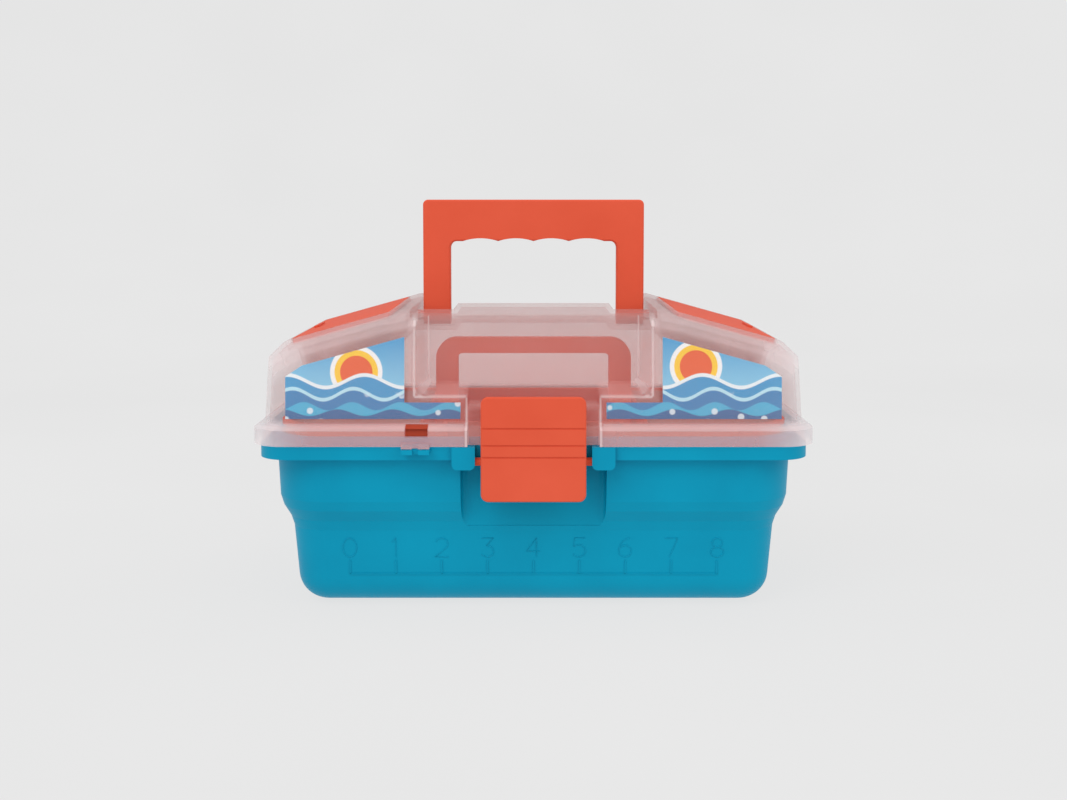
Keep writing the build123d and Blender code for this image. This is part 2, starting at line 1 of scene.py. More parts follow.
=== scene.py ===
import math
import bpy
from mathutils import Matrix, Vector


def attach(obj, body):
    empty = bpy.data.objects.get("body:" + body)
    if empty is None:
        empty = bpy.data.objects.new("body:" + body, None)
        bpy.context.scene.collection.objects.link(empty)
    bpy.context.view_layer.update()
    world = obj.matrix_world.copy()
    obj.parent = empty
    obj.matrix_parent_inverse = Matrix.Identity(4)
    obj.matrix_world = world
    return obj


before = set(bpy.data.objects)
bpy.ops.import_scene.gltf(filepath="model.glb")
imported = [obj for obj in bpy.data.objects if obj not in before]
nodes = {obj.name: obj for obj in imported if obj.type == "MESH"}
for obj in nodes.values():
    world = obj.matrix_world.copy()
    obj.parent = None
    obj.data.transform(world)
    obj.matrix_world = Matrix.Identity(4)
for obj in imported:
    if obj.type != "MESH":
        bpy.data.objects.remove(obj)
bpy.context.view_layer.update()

# %% [markdown]
# # A small tackle box
# The box is moulded from coloured plastic: a blue tub, a milky clear lid, and orange handles, latch, hatches and
# tray. The solids arrive ready made, one object for each moulding, so this file adds what moulding and printing
# add: surface grain, colour, the raised rule on the front, the printed cards, the light and the camera.

MM = 0.001

# %% [markdown]
# ## Colours
# Colours are easiest to read as screen values from 0 to 255, but shaders work in linear light.
# One helper turns the first kind into the second, so every finish below can be written as it would be picked from
# a chart.

# %% Turn screen colours into linear light
KNEE, SLOPE, LIFT, POWER = 0.04045, 12.92, 0.055, 2.4


def screen_colour(red, green, blue):
    """A colour of 0 to 255 a channel in the linear light that shaders use."""
    linear = []
    for value in (red, green, blue):
        share = value / 255
        linear.append(share / SLOPE if share <= KNEE else ((share + LIFT) / (1 + LIFT)) ** POWER)
    return (*linear, 1.0)


print("mid grey is", round(screen_colour(128, 128, 128)[0], 3), "in linear light")

# %% [markdown]
# ## Moulded grain
# Injection moulded plastic is never one flat colour. The steel mould leaves a fine matt grain, and the flow of the
# melt leaves slow clouds that are a little lighter and darker. Both are noise at two very different sizes.
# Several finishes need them, so they live in one shader group with a height for the bump and a slow cloud for the
# tint.

# %% Build the shared grain group
GRAIN_DETAIL, CLOUD_DETAIL = 2.0, 3.0
grain_group = bpy.data.node_groups.new("moulded grain", "ShaderNodeTree")
for direction, labels in (("INPUT", ("Grain Scale", "Cloud Scale")), ("OUTPUT", ("Height", "Cloud"))):
    for label in labels:
        grain_group.interface.new_socket(label, in_out=direction, socket_type="NodeSocketFloat")
group_in = grain_group.nodes.new("NodeGroupInput")
group_out = grain_group.nodes.new("NodeGroupOutput")
group_place = grain_group.nodes.new("ShaderNodeTexCoord")
for scale, result, detail in (("Grain Scale", "Height", GRAIN_DETAIL), ("Cloud Scale", "Cloud", CLOUD_DETAIL)):
    noise = grain_group.nodes.new("ShaderNodeTexNoise")
    noise.inputs["Detail"].default_value = detail
    grain_group.links.new(group_place.outputs["Object"], noise.inputs["Vector"])
    grain_group.links.new(group_in.outputs[scale], noise.inputs["Scale"])
    grain_group.links.new(noise.outputs["Fac"], group_out.inputs[result])
print("group", grain_group.name, "with", len(grain_group.nodes), "nodes")

# %% [markdown]
# ## Tools for masks, inks and painted light
# A finish is painted with masks, numbers from 0 to 1 that say where one colour or haze gives way to another.
# Each sum is one node, and wiring nodes by hand soon hides what a finish does. These tools add a node, wire it and
# hand back its output, so the later cells read like the finish itself.

# %% Make the tools for numbers
NOISE_LOW, NOISE_HIGH = 0.3, 0.7


def maths(tree, operation, *values):
    """One Math node: plain numbers are set on its sockets, and outputs are wired to them."""
    node = tree.nodes.new("ShaderNodeMath")
    node.operation = operation
    for socket, value in zip(node.inputs, values):
        if isinstance(value, (int, float)):
            socket.default_value = value
        else:
            tree.links.new(value, socket)
    return node.outputs["Value"]


def stretch(tree, source, from_low, from_high, to_low, to_high):
    """Maps one range of numbers on to another, and stops at its ends."""
    node = tree.nodes.new("ShaderNodeMapRange")
    for label, value in (("From Min", from_low), ("From Max", from_high), ("To Min", to_low), ("To Max", to_high)):
        node.inputs[label].default_value = value
    tree.links.new(source, node.inputs["Value"])
    return node.outputs["Result"]


def spread(tree, noise_value, low=0.0, high=1.0):
    """Stretches the middle of a noise over the given range."""
    return stretch(tree, noise_value, NOISE_LOW, NOISE_HIGH, low, high)


print("tools for numbers are ready")

# %% Make the tools for masks
def above(tree, value, edge, soft):
    """One over the edge and zero under it, with a soft border."""
    return stretch(tree, value, edge - soft, edge + soft, 0.0, 1.0)


def below(tree, value, edge, soft):
    """One under the edge and zero over it, with a soft border."""
    return stretch(tree, value, edge - soft, edge + soft, 1.0, 0.0)


def all_of(tree, mask, *others):
    """One only where every mask is one."""
    for other in others:
        mask = maths(tree, "MULTIPLY", mask, other)
    return mask


def any_of(tree, mask, *others):
    """One where any of the masks is one."""
    for other in others:
        mask = maths(tree, "MAXIMUM", mask, other)
    return mask


print("tools for masks are ready")

# %% Make the tools for inks and painted light
def blend_colours(tree, share, first, second):
    """A colour that wanders between two screen colours."""
    node = tree.nodes.new("ShaderNodeMix")
    node.data_type = "RGBA"
    node.inputs["A"].default_value = screen_colour(*first)
    node.inputs["B"].default_value = screen_colour(*second)
    tree.links.new(share, node.inputs["Factor"])
    return node.outputs["Result"]


def over(tree, picture, mask, laid_colour, strength=None):
    """Lays a flat colour over a picture where the mask is one, thinned if a strength is given: print on the cards,
    painted light and shade on the lid.
    """
    node = tree.nodes.new("ShaderNodeMix")
    node.data_type = "RGBA"
    tree.links.new(picture, node.inputs["A"])
    node.inputs["B"].default_value = screen_colour(*laid_colour)
    cover = mask if strength is None else maths(tree, "MULTIPLY", mask, strength)
    tree.links.new(cover, node.inputs["Factor"])
    return node.outputs["Result"]


print("tools for inks are ready")

# %% [markdown]
# ## Coloured plastic
# The tub and the orange mouldings are solid colour right through, with a satin skin.
# A Principled shader takes a colour that wanders between two close shades, a roughness that follows the same clouds,
# and a very shallow bump from the grain, so highlights break up softly instead of lying on glass.

# %% Start a finish
GRAIN_DEPTH = 0.2 * MM


def start_finish(name, grain_scale, cloud_scale, bump):
    """A material with its shader, the shared grain and a bump already wired."""
    material = bpy.data.materials.new(name)
    material.use_nodes = True
    tree = material.node_tree
    shader = tree.nodes["Principled BSDF"]
    grain = tree.nodes.new("ShaderNodeGroup")
    grain.node_tree = grain_group
    grain.inputs["Grain Scale"].default_value = grain_scale
    grain.inputs["Cloud Scale"].default_value = cloud_scale
    relief = tree.nodes.new("ShaderNodeBump")
    relief.inputs["Strength"].default_value = bump
    relief.inputs["Distance"].default_value = GRAIN_DEPTH
    tree.links.new(grain.outputs["Height"], relief.inputs["Height"])
    tree.links.new(relief.outputs["Normal"], shader.inputs["Normal"])
    return material, tree, shader, grain.outputs["Cloud"]


print("grain is", round(GRAIN_DEPTH / MM, 2), "mm deep at full strength")

# %% Make the coloured plastics
PLASTIC_GRAIN, PLASTIC_CLOUDS, PLASTIC_BUMP = 2200.0, 22.0, 0.12
PLASTIC_SHINE = 0.1


def coloured_plastic(name, shade, light, smoothest, roughest):
    material, tree, shader, cloud = start_finish(name, PLASTIC_GRAIN, PLASTIC_CLOUDS, PLASTIC_BUMP)
    tree.links.new(blend_colours(tree, spread(tree, cloud), shade, light), shader.inputs["Base Color"])
    tree.links.new(spread(tree, cloud, smoothest, roughest), shader.inputs["Roughness"])
    shader.inputs["Specular IOR Level"].default_value = PLASTIC_SHINE
    return material


tub_blue = coloured_plastic("satin blue plastic", (0, 144, 179), (0, 152, 187), 0.36, 0.46)
bright_orange = coloured_plastic("satin orange plastic", (221, 87, 60), (227, 93, 66), 0.56, 0.66)
print("made", tub_blue.name, "and", bright_orange.name)

# %% [markdown]
# ## Clear covers and milky lid
# The lid is a natural, uncoloured plastic: it lets shapes behind it show, but scatters enough light to look milky.
# Full glass would bend the light and throw a dark shadow inside the box. A thin white haze that lets part of the
# light straight through gives the same look and keeps the tray behind it bright, so both finishes use alpha for the
# haze.

# %% Make the clear covers
HAZY_GRAIN, HAZY_CLOUDS, HAZY_BUMP = 1600.0, 26.0, 0.08
COVER_ROUGHNESS, COVER_THINNEST, COVER_THICKEST = 0.14, 0.09, 0.12


def hazy_plastic(name, shade, light, roughness):
    """A see-through plastic whose tint is mixed and whose haze is still open."""
    material, tree, shader, cloud = start_finish(name, HAZY_GRAIN, HAZY_CLOUDS, HAZY_BUMP)
    shader.inputs["Roughness"].default_value = roughness
    return material, tree, shader, cloud, blend_colours(tree, spread(tree, cloud), shade, light)


clear_cover, cover_tree, cover_shader, cover_cloud, cover_tint = hazy_plastic(
    "clear cover plastic", (232, 236, 238), (240, 242, 244), COVER_ROUGHNESS)
cover_tree.links.new(cover_tint, cover_shader.inputs["Base Color"])
cover_haze = spread(cover_tree, cover_cloud, COVER_THINNEST, COVER_THICKEST)
cover_tree.links.new(cover_haze, cover_shader.inputs["Alpha"])
print("made", clear_cover.name)

# %% [markdown]
# The lid changes from place to place. The orange tray under it throws warm light into the plastic, so its middle is
# pinker than its ends, and its crown, which is met edge on, is greyer. Rounded edges gather light and look paler.
# These are masks made from the place on the lid and the way its surface faces: a surface is rounded where its normal
# lies along none of the three axes.

# %% Find places and directions on the lid
LID_ROUGHNESS = 0.24
milky_lid, lid_tree, lid_shader, lid_cloud, lid_colour = hazy_plastic(
    "milky clear plastic", (232, 222, 224), (240, 230, 231), LID_ROUGHNESS)
lid_place = lid_tree.nodes.new("ShaderNodeTexCoord")
lid_spot = lid_tree.nodes.new("ShaderNodeSeparateXYZ")
lid_facing = lid_tree.nodes.new("ShaderNodeSeparateXYZ")
lid_tree.links.new(lid_place.outputs["Object"], lid_spot.inputs["Vector"])
lid_tree.links.new(lid_place.outputs["Normal"], lid_facing.inputs["Vector"])
aside = maths(lid_tree, "ABSOLUTE", lid_spot.outputs["X"])
depth_y, height_z = lid_spot.outputs["Y"], lid_spot.outputs["Z"]
sideways, square_on, upwards = [maths(lid_tree, "ABSOLUTE", lid_facing.outputs[axis]) for axis in "XYZ"]
print("started", milky_lid.name)

# %% Paint light and shade into the milky lid's colour
WARM_END_X, WARM_SOFT = 134.0 * MM, 14.0 * MM
CROWN_LOW_Z, CROWN_SOFT = 146.0 * MM, 12.0 * MM
STRAIGHT, STRAIGHT_SOFT = 0.86, 0.06
warm = below(lid_tree, aside, WARM_END_X, WARM_SOFT)
crown = above(lid_tree, height_z, CROWN_LOW_Z, CROWN_SOFT)
rounded = below(lid_tree, any_of(lid_tree, sideways, square_on, upwards), STRAIGHT, STRAIGHT_SOFT)
# Painted light and shade: a painted reflection of the tray's warm light in the middle, painted shade on the crown
# and a painted highlight on rounded edges.
painted_light_layers = [
    (warm, (230, 166, 161), 0.85),
    (crown, (190, 164, 162), 0.6),
    (rounded, (238, 226, 227), 0.5),
]
for mask, laid_colour, strength in painted_light_layers:
    lid_colour = over(lid_tree, lid_colour, mask, laid_colour, strength)
print("tinted the lid in", len(painted_light_layers), "layers")

# %% [markdown]
# A moulded edge carries light along its length and lets it out at the corner, so the finger recess is drawn in pale
# lines: one round its mouth and down the latch's pocket, and one up each inner corner. The recess flares from its
# floor to its mouth. Each line is a narrow band about a known place.

# %% Draw the recess's bright edges
WALL_FRONT_Y = -73.5 * MM
LINE_HALF = EDGE = 0.6 * MM
FLOOR_X, FLOOR_Y, FLOOR_LOW_Z = 58.5 * MM, -56.0 * MM, 126.0 * MM
MOUTH_X, MOUTH_LOW_Z = FLOOR_X + 6.0 * MM, FLOOR_LOW_Z - 5.7 * MM
POCKET_X = 36.2 * MM
# The pale lines are a painted highlight laid over the lid's colour.
EDGE_HIGHLIGHT_COLOUR, LINE_STRENGTH = (244, 228, 228), 0.8


def band(tree, value, middle):
    """One in a narrow band about a value, and zero outside it."""
    away = maths(tree, "ABSOLUTE", maths(tree, "SUBTRACT", value, middle))
    return below(tree, away, LINE_HALF, EDGE)


over_sill = above(lid_tree, height_z, MOUTH_LOW_Z, EDGE)
under_sill = below(lid_tree, height_z, MOUTH_LOW_Z, EDGE)
sill_span = all_of(lid_tree, above(lid_tree, aside, POCKET_X, EDGE), below(lid_tree, aside, MOUTH_X, EDGE))
mouth_lines = any_of(
    lid_tree,
    all_of(lid_tree, band(lid_tree, aside, MOUTH_X), over_sill),
    all_of(lid_tree, band(lid_tree, height_z, MOUTH_LOW_Z), sill_span),
    all_of(lid_tree, band(lid_tree, aside, POCKET_X), under_sill),
)
front_wall = below(lid_tree, depth_y, WALL_FRONT_Y, EDGE)
corner_lines = all_of(
    lid_tree,
    band(lid_tree, aside, FLOOR_X),
    band(lid_tree, depth_y, FLOOR_Y),
    above(lid_tree, height_z, FLOOR_LOW_Z, EDGE),
)
bright = any_of(lid_tree, all_of(lid_tree, front_wall, mouth_lines), corner_lines)
lid_colour = over(lid_tree, lid_colour, bright, EDGE_HIGHLIGHT_COLOUR, LINE_STRENGTH)
lid_tree.links.new(lid_colour, lid_shader.inputs["Base Color"])
print("bright edges at", round(MOUTH_X / MM, 1), "and", round(FLOOR_X / MM, 1), "mm from the middle")

# %% [markdown]
# The haze varies too. Walls that run away from the front are met along their depth, so they look thicker than walls
# that face it, and the skirt and the back are milkier still. Where a printed card lies flat against the front wall,
# hardly any haze is left between the ink and the eye. The card is higher at its outer end and has a low foot towards
# the latch, so its mask joins two blocks.

# %% Find where a card backs the lid
CARD_LOW_Z, CARD_FOOT_TOP_Z = 107.8 * MM, 117.2 * MM
CARD_INNER_X, CARD_FOOT_X = 68.0 * MM, 39.5 * MM
card_foot = all_of(
    lid_tree,
    above(lid_tree, aside, CARD_FOOT_X, EDGE),
    below(lid_tree, height_z, CARD_FOOT_TOP_Z, EDGE),
)
card_span = any_of(lid_tree, card_foot, above(lid_tree, aside, CARD_INNER_X, EDGE))
backed = all_of(lid_tree, front_wall, card_span, above(lid_tree, height_z, CARD_LOW_Z, EDGE))
print("cards back the lid from", round(CARD_FOOT_X / MM, 1), "mm outwards")

# %% Give the lid its haze
HAZE_LOW, HAZE_HIGH = 0.28, 0.32
FACING, FACING_SOFT = 0.55, 0.35
BACK_START_Y, BACK_SOFT = 0.0, 60.0 * MM
SKIRT_TOP_Z = 104.8 * MM
CARD_CLEARING = 0.62
haze = spread(lid_tree, lid_cloud, HAZE_LOW, HAZE_HIGH)
layers = [
    (above(lid_tree, square_on, FACING, FACING_SOFT), -0.12),
    (rounded, 0.12),
    (bright, 0.3),
    (above(lid_tree, depth_y, BACK_START_Y, BACK_SOFT), 0.16),
    (below(lid_tree, height_z, SKIRT_TOP_Z, EDGE), 0.2),
]
for mask, more in layers:
    haze = maths(lid_tree, "MULTIPLY_ADD", mask, more, haze)
kept = maths(lid_tree, "MULTIPLY_ADD", backed, -CARD_CLEARING, 1.0)
lid_tree.links.new(maths(lid_tree, "MULTIPLY", haze, kept), lid_shader.inputs["Alpha"])
print("haze has", len(layers), "layers in", len(lid_tree.nodes), "nodes")

# %% [markdown]
# ## Steel hinge pins
# The two hinge pins are short lengths of drawn wire. Drawing leaves fine lines along the wire, which runs along X
# here, so the noise is stretched in that direction before it drives roughness and tint.

# %% Make the drawn steel
ALONG_WIRE, ACROSS_WIRE, WIRE_DETAIL = 60.0, 2600.0, 2.0
drawn_steel = bpy.data.materials.new("drawn steel wire")
drawn_steel.use_nodes = True
steel_tree = drawn_steel.node_tree
steel = steel_tree.nodes["Principled BSDF"]
steel.inputs["Metallic"].default_value = 1.0
steel_place = steel_tree.nodes.new("ShaderNodeTexCoord")
steel_stretch = steel_tree.nodes.new("ShaderNodeMapping")
steel_stretch.inputs["Scale"].default_value = (ALONG_WIRE, ACROSS_WIRE, ACROSS_WIRE)
steel_noise = steel_tree.nodes.new("ShaderNodeTexNoise")
steel_noise.inputs["Scale"].default_value = 1.0
steel_noise.inputs["Detail"].default_value = WIRE_DETAIL
steel_tree.links.new(steel_place.outputs["Object"], steel_stretch.inputs["Vector"])
steel_tree.links.new(steel_stretch.outputs["Vector"], steel_noise.inputs["Vector"])
steel_lines = steel_noise.outputs["Fac"]
steel_shade = blend_colours(steel_tree, steel_lines, (150, 151, 153), (205, 206, 208))
steel_tree.links.new(steel_shade, steel.inputs["Base Color"])
steel_tree.links.new(spread(steel_tree, steel_lines, 0.22, 0.38), steel.inputs["Roughness"])
print("made", drawn_steel.name)

# %% [markdown]
# ## Printed cards
# Two glossy cards sit behind the lid's front wall. The print here is a plain water picture of its own: rolling waves
# in blues, pale bubbles and a low orange sun. It is drawn with arithmetic on the card's own height and length, so it
# stays sharp at any size and needs no picture file. Heights are counted up from the card's foot and the sun's place
# in from its outer end, both read from the loaded card.

# %% Measure a card and draw its sky
card_points = [corner.co for corner in nodes["card_right"].data.vertices]
card_foot_z = min(point.z for point in card_points)
card_end_x = max(point.x for point in card_points)
INK_EDGE = 0.2 * MM
SKY_MIDDLE_Z, SKY_SOFT = card_foot_z + 24.0 * MM, 20.0 * MM
SUN_RINGS = [(14.2 * MM, (245, 250, 250)), (11.8 * MM, (252, 208, 48)), (8.8 * MM, (232, 96, 40))]


def sky_with_sun(tree, across, up, sun_x, sun_z):
    """A sky that deepens upwards, with a halo, a ring and a disc round the sun's middle."""
    picture = blend_colours(tree, above(tree, up, SKY_MIDDLE_Z, SKY_SOFT), (150, 222, 244), (44, 160, 214))
    far_x = maths(tree, "SUBTRACT", across, sun_x)
    far_z = maths(tree, "SUBTRACT", up, sun_z)
    squares = maths(tree, "MULTIPLY_ADD", far_x, far_x, maths(tree, "MULTIPLY", far_z, far_z))
    reach = maths(tree, "SQRT", squares)
    for radius, laid_colour in SUN_RINGS:
        picture = over(tree, picture, below(tree, reach, radius, INK_EDGE), laid_colour)
    return picture


print("card stands", round(card_foot_z / MM, 1), "mm up and ends at", round(card_end_x / MM, 1), "mm")

# %% Draw the waves and bubbles
# Each wave: height over the card's foot, swell, ripples as radians for each metre, shift in radians, ink.
WAVES = [
    (21.5 * MM, 3.4 * MM, 150.0, 0.4, (235, 247, 250)),
    (19.5 * MM, 3.4 * MM, 150.0, 0.4, (16, 154, 206)),
    (14.5 * MM, 3.0 * MM, 190.0, 1.9, (180, 230, 244)),
    (12.5 * MM, 3.0 * MM, 190.0, 1.9, (0, 130, 186)),
    (7.0 * MM, 2.2 * MM, 240.0, 3.1, (44, 178, 216)),
    (3.5 * MM, 1.8 * MM, 210.0, 4.4, (0, 104, 158)),
]
BUBBLE_SCALE, BUBBLE_RADIUS, BUBBLE_SOFT = 110.0, 0.2, 0.03
BUBBLE_TOP_Z, BUBBLE_FADE = card_foot_z + 13.0 * MM, 2.0 * MM
BUBBLE_INK, BUBBLE_STRENGTH = (232, 246, 250), 0.8


def with_waves(tree, picture, across, up, side):
    for rise, swell, ripples, shift, laid_colour in WAVES:
        swing = maths(tree, "SINE", maths(tree, "MULTIPLY_ADD", across, side * ripples, shift))
        crest = maths(tree, "MULTIPLY_ADD", swing, swell, card_foot_z + rise)
        picture = over(tree, picture, above(tree, maths(tree, "SUBTRACT", crest, up), 0.0, INK_EDGE), laid_colour)
    return picture


def with_bubbles(tree, picture, place, up):
    drops = tree.nodes.new("ShaderNodeTexVoronoi")
    drops.inputs["Scale"].default_value = BUBBLE_SCALE
    tree.links.new(place, drops.inputs["Vector"])
    bubble = below(tree, drops.outputs["Distance"], BUBBLE_RADIUS, BUBBLE_SOFT)
    low = below(tree, up, BUBBLE_TOP_Z, BUBBLE_FADE)
    return over(tree, picture, all_of(tree, bubble, low), BUBBLE_INK, BUBBLE_STRENGTH)


print(len(WAVES), "waves, bubbles up to", round(BUBBLE_TOP_Z / MM, 1), "mm")

# %% Print the two cards
CARD_GRAIN, CARD_CLOUDS, CARD_BUMP, CARD_ROUGHNESS = 900.0, 30.0, 0.02, 0.3


def printed_card(name, side, sun_in, sun_rise):
    """The print of the left (-1) or right (1) card."""
    material, tree, shader, _ = start_finish(name, CARD_GRAIN, CARD_CLOUDS, CARD_BUMP)
    shader.inputs["Roughness"].default_value = CARD_ROUGHNESS
    place = tree.nodes.new("ShaderNodeTexCoord").outputs["Object"]
    axes = tree.nodes.new("ShaderNodeSeparateXYZ")
    tree.links.new(place, axes.inputs["Vector"])
    across, up = axes.outputs["X"], axes.outputs["Z"]
    picture = sky_with_sun(tree, across, up, side * (card_end_x - sun_in), card_foot_z + sun_rise)
    picture = with_waves(tree, picture, across, up, side)
    picture = with_bubbles(tree, picture, place, up)
    tree.links.new(picture, shader.inputs["Base Color"])
    return material


print_left = printed_card("printed card left", -1, 38.5 * MM, 25.5 * MM)
print_right = printed_card("printed card right", 1, 46.5 * MM, 28.5 * MM)
print("made", print_left.name, "and", print_right.name)

# %% [markdown]
# ## Give every moulding its finish
# Each solid gets exactly one finish, named after what it is made of. Milky plastic passes on the light that it
# scatters, so the lid casts no shadow of its own on the tray inside.

# %% Put the finishes on the solids
finish_of = {
    "tub": tub_blue, "lid": milky_lid, "carry_handle": bright_orange, "front_latch": bright_orange,
    "hatch_left": bright_orange, "hatch_right": bright_orange, "lift_out_tray": bright_orange,
    "tray_handle": bright_orange, "tray_cover_left": clear_cover, "tray_cover_right": clear_cover,
    "hinge_pin_left": drawn_steel, "hinge_pin_right": drawn_steel,
    "card_left": print_left, "card_right": print_right,
}
for node_name, finish in finish_of.items():
    solid = nodes[node_name].data
    solid.materials.clear()
    solid.materials.append(finish)
nodes["lid"].visible_shadow = False
print("finished", len(finish_of), "of", len(nodes), "solids")

# %% [markdown]
# ## The raised rule
# An eight inch rule is moulded on the front of the tub: a base line, nine ticks and the numbers 0 to 8.
# Ticks repeat at one inch, which is what Geometry Nodes are for: a line of points, a small bar on each point.
# The wall leans a little, so bars turn with it, and they sit half sunk in the wall as mould engraving does.

# %% Find the leaning front wall
INCH = 25.4 * MM
RULE_INCHES = 8
RULE_BASE_Z, TICK_TOP_Z = 19.6 * MM, 27.5 * MM
WALL_TOP_Y, WALL_TOP_Z = -68.5 * MM, 47.5 * MM
WALL_SET_IN, WALL_TALL = 4.0 * MM, 45.7 * MM
WALL_LEAN = WALL_SET_IN / WALL_TALL


def wall_y(z):
    """The front wall's place at a height."""
    return WALL_TOP_Y + (WALL_TOP_Z - z) * WALL_LEAN


lean_angle = math.atan(WALL_LEAN)
print("wall leans", round(math.degrees(lean_angle), 2), "degrees")

# %% Build the tick tree
BAR_WIDE, BAR_DEEP = 0.7 * MM, 0.8 * MM
tick_tree = bpy.data.node_groups.new("rule ticks", "GeometryNodeTree")
tick_sockets = {}
for label, kind in (
    ("Count", "NodeSocketInt"), ("First", "NodeSocketVector"), ("Step", "NodeSocketVector"),
    ("Bar Size", "NodeSocketVector"), ("Lean", "NodeSocketVector"), ("Finish", "NodeSocketMaterial"),
):
    made = tick_tree.interface.new_socket(label, in_out="INPUT", socket_type=kind)
    tick_sockets[label] = made.identifier
tick_tree.interface.new_socket("Geometry", in_out="OUTPUT", socket_type="NodeSocketGeometry")
ticks_in, ticks_out = tick_tree.nodes.new("NodeGroupInput"), tick_tree.nodes.new("NodeGroupOutput")
line = tick_tree.nodes.new("GeometryNodeMeshLine")
bar = tick_tree.nodes.new("GeometryNodeMeshCube")
stand = tick_tree.nodes.new("GeometryNodeInstanceOnPoints")
turn = tick_tree.nodes.new("FunctionNodeEulerToRotation")
realize = tick_tree.nodes.new("GeometryNodeRealizeInstances")
paint = tick_tree.nodes.new("GeometryNodeSetMaterial")
print("tick tree has", len(tick_tree.nodes), "nodes and", len(tick_sockets), "inputs")

# %% Wire the tick tree
for source, target in (
    (ticks_in.outputs["Count"], line.inputs["Count"]),
    (ticks_in.outputs["First"], line.inputs["Start Location"]),
    (ticks_in.outputs["Step"], line.inputs["Offset"]),
    (ticks_in.outputs["Bar Size"], bar.inputs["Size"]),
    (line.outputs["Mesh"], stand.inputs["Points"]),
    (bar.outputs["Mesh"], stand.inputs["Instance"]),
    (ticks_in.outputs["Lean"], turn.inputs["Euler"]),
    (turn.outputs["Rotation"], stand.inputs["Rotation"]),
    (stand.outputs["Instances"], realize.inputs["Geometry"]),
    (realize.outputs["Geometry"], paint.inputs["Geometry"]),
    (ticks_in.outputs["Finish"], paint.inputs["Material"]),
    (paint.outputs["Geometry"], ticks_out.inputs["Geometry"]),
):
    tick_tree.links.new(source, target)
print("tick tree has", len(tick_tree.links), "wires")

# %% Run the tick tree and keep its meshes
def put_in_scene(name, data):
    """Makes an object of a mesh, curve, lamp or camera and adds it to the scene."""
    thing = bpy.data.objects.new(name, data)
    bpy.context.scene.collection.objects.link(thing)
    return thing


def row_of_bars(name, count, first, bar_size):
    """Runs the tick tree on an empty mesh and keeps the result as a plain mesh."""
    seed = put_in_scene(name, bpy.data.meshes.new(name))
    modifier = seed.modifiers.new("grow", "NODES")
    modifier.node_group = tick_tree
    for label, value in (
        ("Count", count), ("First", first), ("Step", (INCH, 0.0, 0.0)), ("Bar Size", bar_size),
        ("Lean", (lean_angle, 0.0, 0.0)), ("Finish", tub_blue),
    ):
        modifier[tick_sockets[label]] = value
    mesh = bpy.data.meshes.new_from_object(seed.evaluated_get(bpy.context.evaluated_depsgraph_get()))
    seed.modifiers.remove(modifier)
    seed.data = mesh
    return seed


middle_z = (RULE_BASE_Z + TICK_TOP_Z) / 2
first_tick = (-RULE_INCHES / 2 * INCH, wall_y(middle_z), middle_z)
ticks = row_of_bars("rule_ticks", RULE_INCHES + 1, first_tick, (BAR_WIDE, BAR_DEEP, TICK_TOP_Z - RULE_BASE_Z))
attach(ticks, "tub")
base_line = row_of_bars("rule_base_line", 1, (0.0, wall_y(RULE_BASE_Z), RULE_BASE_Z),
                        (RULE_INCHES * INCH + BAR_WIDE, BAR_DEEP, BAR_WIDE))
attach(base_line, "tub")
print("ticks", len(ticks.data.polygons), "faces, base line", len(base_line.data.polygons), "faces")

# %% [markdown]
# The numbers are plain engraver's strokes of one width, drawn on a grid one unit tall from straight lines and from
# arcs. A curve with a round bevel turns the strokes into raised threads, laid on the leaning wall.

# %% Write the numbers 0 to 8 as strokes
ARC_STEP, ARC_FEWEST = 15, 4


def arc(middle_u, middle_v, reach_u, reach_v, start, end):
    """Points along part of an oval, from one angle to another in degrees."""
    steps = max(ARC_FEWEST, round(abs(end - start) / ARC_STEP))
    angles = [math.radians(start + (end - start) * step / steps) for step in range(steps + 1)]
    return [(middle_u + reach_u * math.cos(a), middle_v + reach_v * math.sin(a)) for a in angles]


STROKES = {
    0: [arc(0.35, 0.5, 0.35, 0.5, 90, 450)],
    1: [[(0.16, 0.8), (0.36, 1.0), (0.36, 0.0)]],
    2: [arc(0.35, 0.7, 0.32, 0.3, 160, -35) + [(0.02, 0.0), (0.68, 0.0)]],
    3: [[(0.04, 1.0), (0.64, 1.0), (0.3, 0.6)] + arc(0.33, 0.3, 0.33, 0.3, 85, -150)],
    4: [[(0.5, 0.0), (0.5, 1.0), (0.0, 0.3), (0.68, 0.3)]],
    5: [[(0.62, 1.0), (0.1, 1.0), (0.05, 0.55)] + arc(0.33, 0.32, 0.33, 0.32, 125, -150)],
    6: [arc(0.6, 0.32, 0.58, 0.68, 95, 180) + arc(0.34, 0.31, 0.32, 0.31, 180, 540)],
    7: [[(0.02, 1.0), (0.68, 1.0), (0.26, 0.0)]],
    8: [arc(0.35, 0.76, 0.26, 0.24, -90, 270), arc(0.35, 0.26, 0.33, 0.26, 90, 450)],
}
print(len(STROKES), "numbers,", sum(len(points) for lines in STROKES.values() for points in lines), "points")

# %% Lay the strokes on the wall
NUMBER_LOW_Z, NUMBER_HIGH_Z = 29.4 * MM, 40.2 * MM
STROKE_RADIUS = 0.36 * MM
NUMBER_MIDDLE = 0.35
number_tall = NUMBER_HIGH_Z - NUMBER_LOW_Z
strokes = bpy.data.curves.new("rule_numbers", "CURVE")
strokes.dimensions = "3D"
strokes.bevel_depth = STROKE_RADIUS
strokes.bevel_resolution = 1
strokes.use_fill_caps = True
for number, lines in STROKES.items():
    number_x = (number - RULE_INCHES / 2) * INCH
    for points in lines:
        thread = strokes.splines.new("POLY")
        thread.points.add(len(points) - 1)
        for point, (u, v) in zip(thread.points, points):
            z = NUMBER_LOW_Z + v * number_tall
            point.co = (number_x + (u - NUMBER_MIDDLE) * number_tall, wall_y(z), z, 1.0)
print(len(strokes.splines), "strokes laid")

